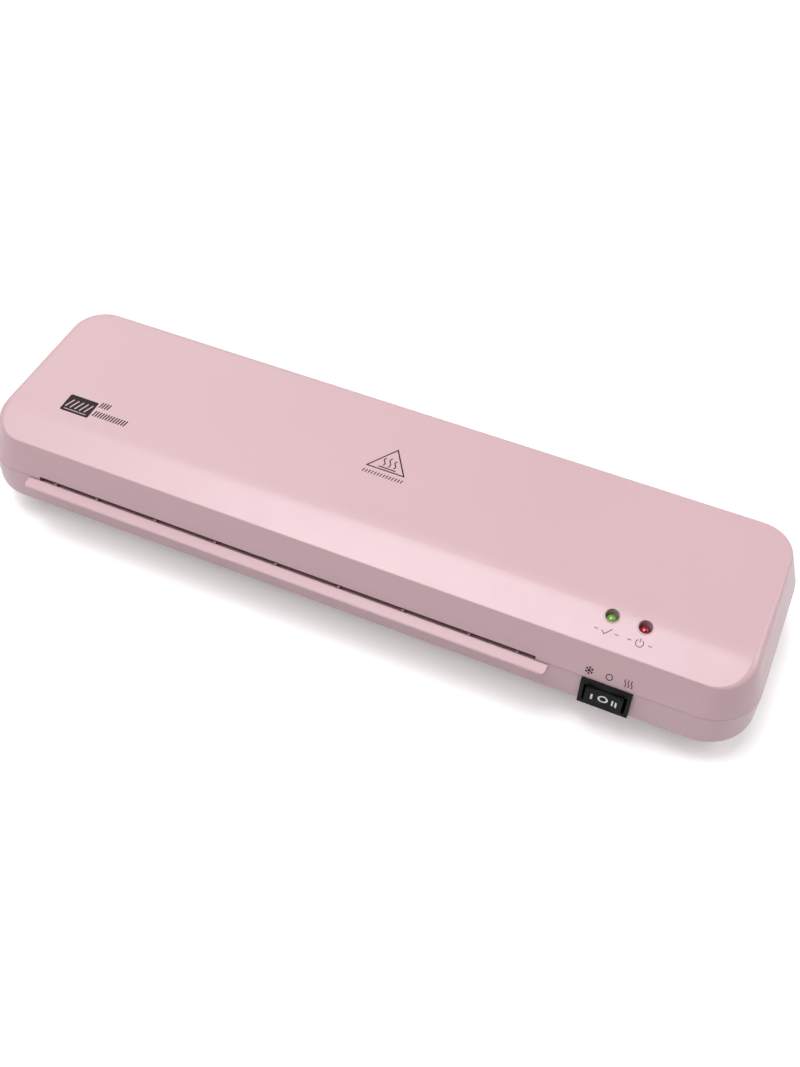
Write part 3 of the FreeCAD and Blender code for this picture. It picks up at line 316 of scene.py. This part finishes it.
SHELL_PINK = (0.585, 0.398, 0.428)
SWITCH_BLACK = (0.006, 0.006, 0.006)
COMPONENT_BLACK = (0.03, 0.03, 0.036)
RUBBER_COLOURS = ((0.012, 0.012, 0.013), (0.04, 0.039, 0.038))
ZINC_DARK = (0.52, 0.52, 0.50)
ZINC_TINTS = ((0.60, 0.61, 0.58), (0.66, 0.66, 0.70))
SHAFT_STEEL = (0.67, 0.67, 0.68)
NICKEL_COLOURS = ((0.34, 0.33, 0.31), (0.52, 0.51, 0.50))
SILICONE_COLOURS = ((0.40, 0.10, 0.045), (0.47, 0.15, 0.085))
BRONZE_COLOURS = ((0.16, 0.10, 0.04), (0.66, 0.44, 0.19))
NYLON_COLOURS = ((0.74, 0.72, 0.64), (0.82, 0.81, 0.76))
ALUMINIUM_GREY = (0.72, 0.73, 0.75)
CERAMIC_COLOURS = ((0.62, 0.57, 0.46), (0.72, 0.68, 0.58))
MOTOR_GREY = (0.52, 0.52, 0.50)
BOARD_COLOURS = ((0.018, 0.11, 0.04), (0.045, 0.22, 0.085))
# Each lens: the colour seen face-on, then the darker colour painted towards its rim as shade.
GREEN_LENS = ((0.22, 0.47, 0.07), (0.07, 0.22, 0.02))
RED_LENS = ((0.40, 0.006, 0.028), (0.16, 0.003, 0.01))
DARK_INK = (0.022, 0.013, 0.015)
SOFT_INK = (0.21, 0.135, 0.15)
PALE_INK = (0.62, 0.44, 0.47)
WHITE_INK = (0.8, 0.8, 0.78)


def shell_plastic():
    """The pink case."""
    return plastic("shell_pink", SHELL_PINK, roughness=0.31, grain=0.5, grain_depth=0.003, edge=0.25)


def black_plastic():
    """The switch and the cord gland: dull black."""
    return plastic(
        "switch_black", SWITCH_BLACK, roughness=0.5, grain=0.35, grain_depth=0.006, edge=0.12,
        Specular_IOR_Level=0.1,
    )


def component_plastic():
    """The housings of the parts on the control board."""
    return plastic("component_black", COMPONENT_BLACK, roughness=0.38, grain=0.4, grain_depth=0.01, edge=0.15)


def foot_rubber():
    """Black rubber with a chalky bloom and a soft grain."""
    material, tree, surface = new_material("rubber_foot", Specular_IOR_Level=0.3)
    bloom = spread(tree, noise(tree, 1.6, detail=5, roughness=0.7))
    finish_surface(
        tree, surface, RUBBER_COLOURS, tone_or_shade=bloom, roughness=(0.7, 0.9), gloss=bloom,
        height=noise(tree, 0.25, detail=3), depth=0.02, edge=0.3,
    )
    return material


def plated_steel():
    """Zinc-plated sheet: flat grey spangles with a faint passivated tint."""
    material, tree, surface = new_material("zinc_plate", Metallic=1.0)
    spangle = cell_values(tree, 2.2, "Red")
    tint = blend_colours(tree, spread(tree, noise(tree, 18, detail=4)), *ZINC_TINTS)
    finish_surface(
        tree, surface, (ZINC_DARK, tint), tone_or_shade=spread(tree, spangle, low=0.4), roughness=(0.26, 0.44),
        gloss=spangle, height=noise(tree, 0.6, detail=3), depth=0.004, edge=0.15,
    )
    return material


def bright_steel():
    """Ground shafts."""
    return streaked_metal(
        "ground_shaft", SHAFT_STEEL, (0.14, 0.3), pitch=0.25, depth=0.003, grain_way=rings_round,
    )


def screw_steel():
    """Nickel-plated screws with slight, uneven wear."""
    material, tree, surface = new_material("screw_nickel", Metallic=1.0)
    wear = spread(tree, noise(tree, 0.9, detail=5, roughness=0.65))
    finish_surface(
        tree, surface, NICKEL_COLOURS, tone_or_shade=wear, roughness=(0.22, 0.42), gloss=wear,
        height=noise(tree, 0.3), depth=0.006, edge=0.12,
    )
    return material


def silicone():
    """Red-brown silicone, ground round and round, with a little powder on it."""
    material, tree, surface = new_material("roller_silicone", Specular_IOR_Level=0.35, Subsurface_Weight=0.06)
    powder = spread(tree, noise(tree, 3.0, detail=6, roughness=0.75))
    finish_surface(
        tree, surface, SILICONE_COLOURS, tone_or_shade=powder, roughness=(0.5, 0.68), gloss=powder,
        height=noise(tree, 0.3, detail=3, vector=rings_round(tree, ALONG_ROLLERS, 40)), depth=0.01, edge=0.3,
    )
    return material


def bearing_bronze():
    """Sintered bronze: a porous face, dark where oil has stayed in the pores."""
    material, tree, surface = new_material("sintered_bronze", Metallic=1.0)
    pores = cells(tree, 0.28, "Distance")
    oil = shader(tree, "MapRange", Value=pores, From_Min=0.08, From_Max=0.3).outputs["Result"]
    finish_surface(
        tree, surface, BRONZE_COLOURS, tone_or_shade=oil, roughness=(0.5, 0.36), gloss=oil,
        height=oil, depth=0.02, edge=0.12,
    )
    return material


def white_nylon():
    """Natural nylon: waxy and a little see-through, with flow marks."""
    material, tree, surface = new_material("natural_nylon", Subsurface_Weight=0.15, Subsurface_Scale=0.001)
    flow = spread(tree, noise(tree, 5, detail=3, vector=streaks_along(tree, ALONG_ROLLERS, 3)))
    finish_surface(
        tree, surface, NYLON_COLOURS, tone_or_shade=flow, roughness=(0.34, 0.48), gloss=flow,
        height=noise(tree, 0.5), depth=0.006, edge=0.12,
    )
    return material


def aluminium():
    """The extruded heated plates."""
    return streaked_metal(
        "extruded_aluminium", ALUMINIUM_GREY, (0.26, 0.44), pitch=0.3, depth=0.006,
        grain_way=streaks_along, edge=0.2,
    )


def heater_ceramic():
    """Ceramic and mica: cream with fine flecks."""
    material, tree, surface = new_material("cream_ceramic", Specular_IOR_Level=0.3)
    fleck = cell_values(tree, 0.7, "Green")
    finish_surface(
        tree, surface, CERAMIC_COLOURS, tone_or_shade=spread(tree, fleck, low=0.2), roughness=(0.55, 0.8),
        gloss=fleck, height=noise(tree, 0.4, detail=4), depth=0.02, edge=0.15,
    )
    return material


def motor_metal():
    """The motor's drawn can and gearbox."""
    return streaked_metal(
        "motor_can_zinc", MOTOR_GREY, (0.24, 0.42), pitch=0.5, depth=0.004, grain_way=rings_round, edge=0.25,
    )


def circuit_board():
    """Green solder resist over copper tracks that run in steps."""
    material, tree, surface = new_material("board_green", Coat_Weight=0.3, Coat_Roughness=0.2)
    track_pitch = 0.09
    ripple = shader(tree, "Math", {"operation": "PINGPONG"})
    tree.links.new(cells(tree, 7, "Distance", distance="CHEBYCHEV"), ripple.inputs[0])
    ripple.inputs[1].default_value = track_pitch
    track = shader(
        tree, "MapRange", Value=ripple.outputs["Value"], From_Min=0.04, From_Max=0.05,
    ).outputs["Result"]
    finish_surface(
        tree, surface, BOARD_COLOURS, tone_or_shade=track, roughness=(0.4, 0.3), gloss=track,
        height=track, depth=0.03, edge=0.1,
    )
    return material


def lens(name, colours):
    """A tinted 5 mm lens, painted lighter where it faces the viewer and darker towards its rim: painted shade
    by viewing angle.
    """
    material, tree, surface = new_material(
        name, Transmission_Weight=0.25, IOR=1.5, Coat_Weight=0.5, Coat_Roughness=0.08,
    )
    # Painted shade: the lens colour darkens from face-on towards the rim, by viewing angle.
    finish_surface(
        tree, surface, colours, tone_or_shade=shader(tree, "LayerWeight", Blend=0.4).outputs["Facing"],
        roughness=(0.12, 0.2), gloss=spread(tree, noise(tree, 1.5)), height=noise(tree, 0.8), depth=0.004,
    )
    return material


def lamp_green():
    """The ready lamp."""
    return lens("lens_green", GREEN_LENS)


def lamp_red():
    """The power lamp."""
    return lens("lens_red", RED_LENS)


def ink(name, colour):
    """Pad-printed ink: a slightly broken film."""
    material, tree, surface = new_material(name, Specular_IOR_Level=0.2)
    film = spread(tree, noise(tree, 0.35, detail=3))
    finish_surface(
        tree, surface, (shade(colour, 0.85), colour), tone_or_shade=film, roughness=(0.4, 0.55), gloss=film,
        height=film, depth=0.002,
    )
    return material


# A finish is named after the record's slot that it is for.
CAD_FINISHES = (
    shell_plastic, black_plastic, foot_rubber, plated_steel, bright_steel, screw_steel, silicone,
    bearing_bronze, white_nylon, aluminium, heater_ceramic, motor_metal, circuit_board,
    component_plastic, lamp_green, lamp_red,
)


def dress_cad_nodes():
    """Gives every CAD node the finish that its slot in the record names, and returns the finishes."""
    made = {maker.__name__: maker() for maker in CAD_FINISHES}
    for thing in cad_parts.values():
        for index, old in enumerate(thing.data.materials):
            thing.data.materials[index] = made[old.name.split(".")[0]]
    return made


# ---------------------------------------------------------------- artwork laid on a surface

INK_LIFT = 0.02
INK_DEPTH = 0.03
LONGEST_RUN = 1.0
RAY_HEAD_START = 30
SHARPEST_MITRE = 0.4


class Canvas:
    """Places flat artwork, drawn in millimetres, on a node's surface, seen along one direction."""

    def __init__(self, node, centre, across, up, lift=INK_LIFT):
        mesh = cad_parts[node].data
        self.skin = BVHTree.FromPolygons(
            [vertex.co for vertex in mesh.vertices], [face.vertices for face in mesh.polygons],
        )
        self.centre = Vector(centre) * MM
        self.across, self.up = Vector(across), Vector(up)
        self.inward = self.up.cross(self.across)
        self.lift = lift * MM

    def layers(self, spot):
        """The points just above and just below the surface at one spot of the drawing."""
        aim = self.centre + (self.across * spot[0] + self.up * spot[1]) * MM
        hit, normal, _, _ = self.skin.ray_cast(aim - self.inward * RAY_HEAD_START * MM, self.inward)
        if normal.dot(self.inward) > 0:
            normal = -normal
        return hit + normal * self.lift, hit - normal * INK_DEPTH * MM


def subdivided(points, closed):
    """The same line with more points, none further apart than the longest run."""
    corners = [Vector(point) for point in points]
    if closed:
        corners.append(corners[0])
    line = [corners[0]]
    for start, end in zip(corners, corners[1:]):
        steps = max(1, math.ceil((end - start).length / LONGEST_RUN))
        line += [start.lerp(end, step / steps) for step in range(1, steps + 1)]
    return line[:-1] if closed else line


def mitre(before, here, after):
    """The sideways step at a point of a line that keeps the stroke's width round a corner."""
    first = (here - before).normalized() if (here - before).length else (after - here).normalized()
    second = (after - here).normalized() if (after - here).length else first
    along = (first + second).normalized()
    side = Vector((-along.y, along.x))
    return side / max(SHARPEST_MITRE, side.dot(Vector((-first.y, first.x))))


def neighbours(line, index, closed):
    """The points before and after one point of a line; an open line's end stands in for a missing one."""
    before = line[index - 1] if closed or index else line[index]
    after = line[(index + 1) % len(line)] if closed or index < len(line) - 1 else line[index]
    return before, after


def join_rings(mesh, rings, closed):
    """Adds the faces between each ring of vertices and the next, and from the last to the first if closed."""
    pairs = list(zip(rings, rings[1:]))
    if closed:
        pairs.append((rings[-1], rings[0]))
    sides = len(rings[0])
    for first, second in pairs:
        for side in range(sides):
            other = (side + 1) % sides
            mesh.faces.new((first[side], first[other], second[other], second[side]))


def stroke(mesh, canvas, points, width, closed=False):
    """Adds a thin closed solid along a line."""
    line = subdivided(points, closed)
    rings = []
    for index, here in enumerate(line):
        before, after = neighbours(line, index, closed)
        step = mitre(before, here, after) * width / 2
        left, right = canvas.layers(here + step), canvas.layers(here - step)
        rings.append([mesh.verts.new(spot) for spot in (left[0], right[0], right[1], left[1])])
    if not closed:
        mesh.faces.new(rings[0][::-1])
        mesh.faces.new(rings[-1])
    join_rings(mesh, rings, closed)


def panel(mesh, canvas, corner, width, height, cut):
    """Adds a thin solid plate with its four corners cut off; corner is its lowest left one."""
    left, low = corner
    right, high = left + width, low + height
    inner = [left + cut + LONGEST_RUN * step for step in range(1, int(width - 2 * cut))]
    columns = [left, left + cut, *inner, right - cut, right]
    tops, bottoms = [], []
    for x in columns:
        inset = max(0.0, cut - (x - left), cut - (right - x))
        for row, y in ((tops, high - inset), (bottoms, low + inset)):
            row.append([mesh.verts.new(spot) for spot in canvas.layers((x, y))])
    for index in range(len(columns) - 1):
        a, b = bottoms[index], bottoms[index + 1]
        c, d = tops[index + 1], tops[index]
        mesh.faces.new((a[0], b[0], c[0], d[0]))
        mesh.faces.new((d[1], c[1], b[1], a[1]))
        mesh.faces.new((a[1], b[1], b[0], a[0]))
        mesh.faces.new((d[0], c[0], c[1], d[1]))
    for bottom, top in ((bottoms[0], tops[0]), (bottoms[-1], tops[-1])):
        mesh.faces.new((bottom[0], bottom[1], top[1], top[0]))


def arc(centre, radius, start, end, steps=24):
    """Points on part of a circle, between two angles in degrees."""
    angles = [math.radians(start + (end - start) * step / steps) for step in range(steps + 1)]
    return [
        (centre[0] + radius * math.cos(angle), centre[1] + radius * math.sin(angle)) for angle in angles
    ]


def ring(radius, steps=32):
    """Points on a whole circle round the drawing's centre."""
    return arc((0, 0), radius, 0, 360, steps)[:-1]


def wave(foot, height, swing, steps=14):
    """A rising line that sways once to each side, as heat is drawn."""
    return [
        (foot[0] + swing * math.sin(2 * math.pi * step / steps), foot[1] + height * step / steps)
        for step in range(steps + 1)
    ]


def new_piece(name, mesh, material, body, smooth=False):
    """Turns a bmesh into a piece that rides on a body."""
    bmesh.ops.recalc_face_normals(mesh, faces=mesh.faces)
    data = bpy.data.meshes.new(name)
    mesh.to_mesh(data)
    mesh.free()
    data.materials.append(material)
    if smooth:
        data.polygons.foreach_set("use_smooth", [True] * len(data.polygons))
    piece = bpy.data.objects.new(name, data)
    bpy.context.collection.objects.link(piece)
    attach(piece, body)
    return piece


# ---------------------------------------------------------------- the printed marks

TOP = ((1, 0, 0), (0, 1, 0))
FRONT = ((1, 0, 0), (0, 0, 1))
TOP_HEIGHT = 48
FRONT_FACE = -50
HOT_SIGN_CENTRE = (0.2, 2.7)
BADGE_CENTRE = (-138.6, -18.4)
SIDE_BARS_START = -130.6
SIDE_BAR_ROWS = ((-13.9, 6.0), (-19.6, 18.0))
SIDE_BAR_PITCH = 1.3
SIDE_BAR_LEAN = 0.25
LAMP_SIGNS_ALONG = -37.2
LAMP_RIMS_ALONG = -30.2
READY_ACROSS = 112.3
POWER_SIGN_ACROSS = 125.8
POWER_RIM_ACROSS = 125.9
SWITCH_SIGNS_ACROSS = (110.8, 119.0, 126.8)
SWITCH_SIGNS_HEIGHT = 33.0
ROCKER_SIGNS_ACROSS = (114.4, 119.0, 123.7)
ROCKER_SIGNS_HEIGHT = 22.1


def top_canvas(across, along, lift=INK_LIFT):
    """A canvas on the upper cover, seen from above."""
    return Canvas("upper_cover", (across, along, TOP_HEIGHT), *TOP, lift)


def front_canvases(node, places, height):
    """Canvases side by side on a node, seen from the front."""
    return [Canvas(node, (across, FRONT_FACE, height), *FRONT) for across in places]


def draw_hot_sign(material):
    """A triangle with three rising waves, over a short hatched band."""
    canvas = top_canvas(*HOT_SIGN_CENTRE)
    mesh = bmesh.new()
    stroke(mesh, canvas, [(-8.6, 0), (8.6, 0), (0.3, 13.3)], 0.6, closed=True)
    for across, tall in ((-2.3, 4.6), (0.2, 5.4), (2.7, 4.6)):
        stroke(mesh, canvas, wave((across, 2.3), tall, 0.6), 0.5)
    stroke(mesh, canvas, [(-3.8, 1.35), (4.2, 1.35)], 0.6)
    for step in range(14):
        across = -9.0 + 1.36 * step
        stroke(mesh, canvas, [(across, -4.2), (across + 0.5, -2.2)], 0.46)
    new_piece("hot_surface_sign", mesh, material, "case")


def draw_badge(dark, pale):
    """A dark plate with plain slanted bars, and two rows of plain upright bars beside it."""
    plate = bmesh.new()
    panel(plate, top_canvas(*BADGE_CENTRE), (-7.1, -5.1), 14.2, 10.2, cut=0.5)
    new_piece("badge_plate", plate, dark, "case")
    bars = bmesh.new()
    lifted = top_canvas(*BADGE_CENTRE, lift=2 * INK_LIFT)
    for step in range(5):
        across = -4.8 + 2.4 * step
        stroke(bars, lifted, [(across - 0.9, -2.5), (across + 0.9, 2.5)], 0.6)
    stroke(bars, lifted, [(-5.6, -3.7), (5.6, -3.7)], 0.35)
    new_piece("badge_bars", bars, pale, "case")
    rows = bmesh.new()
    for along, length in SIDE_BAR_ROWS:
        canvas = top_canvas(SIDE_BARS_START, along)
        for step in range(int(length / SIDE_BAR_PITCH)):
            across = 0.6 + SIDE_BAR_PITCH * step
            stroke(rows, canvas, [(across - SIDE_BAR_LEAN, -1.75), (across + SIDE_BAR_LEAN, 1.75)], 0.66)
    new_piece("badge_side_bars", rows, dark, "case")


def dashes(mesh, canvas):
    """A short dash on each side of a lamp's sign."""
    for side in (-1, 1):
        stroke(mesh, canvas, [(side * 3.4, 0), (side * 5.0, 0)], 0.38)


def draw_lamp_signs(material):
    """A tick in front of the ready lamp and a power sign in front of the power lamp."""
    mesh = bmesh.new()
    tick = top_canvas(READY_ACROSS, LAMP_SIGNS_ALONG)
    stroke(mesh, tick, [(-1.9, 0.1), (-0.6, -1.3), (2.0, 1.6)], 0.42)
    dashes(mesh, tick)
    power = top_canvas(POWER_SIGN_ACROSS, LAMP_SIGNS_ALONG)
    stroke(mesh, power, arc((0, -0.1), 1.55, -235, 55), 0.4)
    stroke(mesh, power, [(0, 0.3), (0, 2.0)], 0.4)
    dashes(mesh, power)
    new_piece("lamp_signs", mesh, material, "case")


def draw_snowflake(mesh, canvas):
    """Three crossed lines with a small arrow near each end."""
    for turn in range(3):
        angle = math.radians(60 * turn + 30)
        way = Vector((math.cos(angle), math.sin(angle)))
        side = Vector((-way.y, way.x))
        stroke(mesh, canvas, [-1.7 * way, 1.7 * way], 0.34)
        for end in (-1, 1):
            hub = end * 1.0 * way
            tip = hub + end * 0.55 * way
            stroke(mesh, canvas, [tip + 0.5 * side, hub, tip - 0.5 * side], 0.26)


def draw_switch_signs(material):
    """Over the switch: a snowflake for cold, a ring for off and three waves for hot."""
    mesh = bmesh.new()
    cold, off, hot = front_canvases("upper_cover", SWITCH_SIGNS_ACROSS, SWITCH_SIGNS_HEIGHT)
    draw_snowflake(mesh, cold)
    stroke(mesh, off, ring(1.25), 0.36, closed=True)
    for across in (-1.3, 0, 1.3):
        stroke(mesh, hot, wave((across, -1.6), 3.2, 0.35), 0.36)
    new_piece("switch_signs", mesh, material, "case")


def draw_rocker_signs(material):
    """On the rocker: one bar, a ring and two bars."""
    mesh = bmesh.new()
    one, off, two = front_canvases("switch_rocker", ROCKER_SIGNS_ACROSS, ROCKER_SIGNS_HEIGHT)
    stroke(mesh, one, [(0, -1.7), (0, 1.7)], 0.85)
    stroke(mesh, off, ring(1.75), 0.8, closed=True)
    for across in (-0.75, 0.75):
        stroke(mesh, two, [(across, -1.7), (across, 1.7)], 0.75)
    new_piece("rocker_signs", mesh, material, "rocker")


# ---------------------------------------------------------------- springs and lamp rims

SPRING_WIRE_RADIUS = 0.4
SPRING_TURNS = 5.5
CLOSED_TURNS = 0.75
POINTS_PER_TURN = 24
WIRE_SIDES = 10
TIP_DOME = 0.4
LAMP_RIM_RADIUS = 3.05
LAMP_RIM_BEAD = 0.3


def tube_along(mesh, line, radius, closed=False):
    """Adds a round wire along a line of points, with domed ends if it is open."""
    tangents, rings = [], []
    for index, here in enumerate(line):
        before, after = neighbours(line, index, closed)
        along = (after - before).normalized()
        level = Vector((0, 0, 1)).cross(along).normalized()
        rise = along.cross(level)
        spots = []
        for side in range(WIRE_SIDES):
            angle = 2 * math.pi * side / WIRE_SIDES
            spots.append(mesh.verts.new(here + (level * math.cos(angle) + rise * math.sin(angle)) * radius))
        tangents.append(along)
        rings.append(spots)
    join_rings(mesh, rings, closed)
    if closed:
        return
    for spots, here, outward in ((rings[0], line[0], -tangents[0]), (rings[-1], line[-1], tangents[-1])):
        tip = mesh.verts.new(here + outward * radius * TIP_DOME)
        for side in range(WIRE_SIDES):
            mesh.faces.new((spots[side], spots[(side + 1) % WIRE_SIDES], tip))


def coil_height(turn, foot, head, wire):
    """How high the wire's middle is after this many turns: the end turns lie on each other."""
    closing = 2 * wire * CLOSED_TURNS
    if turn < CLOSED_TURNS:
        return foot + 2 * wire * turn
    if turn > SPRING_TURNS - CLOSED_TURNS:
        return head - 2 * wire * (SPRING_TURNS - turn)
    share = (turn - CLOSED_TURNS) / (SPRING_TURNS - 2 * CLOSED_TURNS)
    return foot + closing + share * (head - foot - 2 * closing)


def make_spring(side, material):
    """A round-wire compression spring with closed ends, in the place of the CAD node's coil."""
    node = "pressure_spring_" + side
    low, high = (Vector(corner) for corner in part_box(node))
    middle = (low + high) / 2
    wire = SPRING_WIRE_RADIUS * MM
    radius = (high.x - low.x) / 2 - wire
    line = []
    steps = int(SPRING_TURNS * POINTS_PER_TURN)
    for step in range(steps + 1):
        turn = SPRING_TURNS * step / steps
        angle = 2 * math.pi * turn
        line.append(Vector((
            middle.x + radius * math.cos(angle),
            middle.y + radius * math.sin(angle),
            coil_height(turn, low.z + wire, high.z - wire, wire),
        )))
    mesh = bmesh.new()
    tube_along(mesh, line, wire)
    piece = new_piece("coil_spring_" + side, mesh, material, "case", smooth=True)
    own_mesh(piece)
    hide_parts(node)


def make_lamp_rim(name, across, material):
    """The rounded edge of a lamp's hole, as a thin bead round it."""
    canvas = top_canvas(across, LAMP_RIMS_ALONG)
    line = [canvas.layers(spot)[1] for spot in ring(LAMP_RIM_RADIUS, 48)]
    mesh = bmesh.new()
    tube_along(mesh, line, LAMP_RIM_BEAD * MM, closed=True)
    piece = new_piece(name, mesh, material, "case", smooth=True)


# ---------------------------------------------------------------- the scene

make_camera()
make_light()
make_floor()
finishes = dress_cad_nodes()
dark_ink = ink("ink_umber", DARK_INK)
draw_hot_sign(dark_ink)
draw_badge(dark_ink, ink("ink_pale", PALE_INK))
draw_lamp_signs(ink("ink_mauve", SOFT_INK))
draw_switch_signs(dark_ink)
draw_rocker_signs(ink("ink_white", WHITE_INK))
for side in ("left", "right"):
    make_spring(side, finishes["plated_steel"])
make_lamp_rim("lamp_rim_ready", READY_ACROSS, finishes["shell_plastic"])
make_lamp_rim("lamp_rim_power", POWER_RIM_ACROSS, finishes["shell_plastic"])
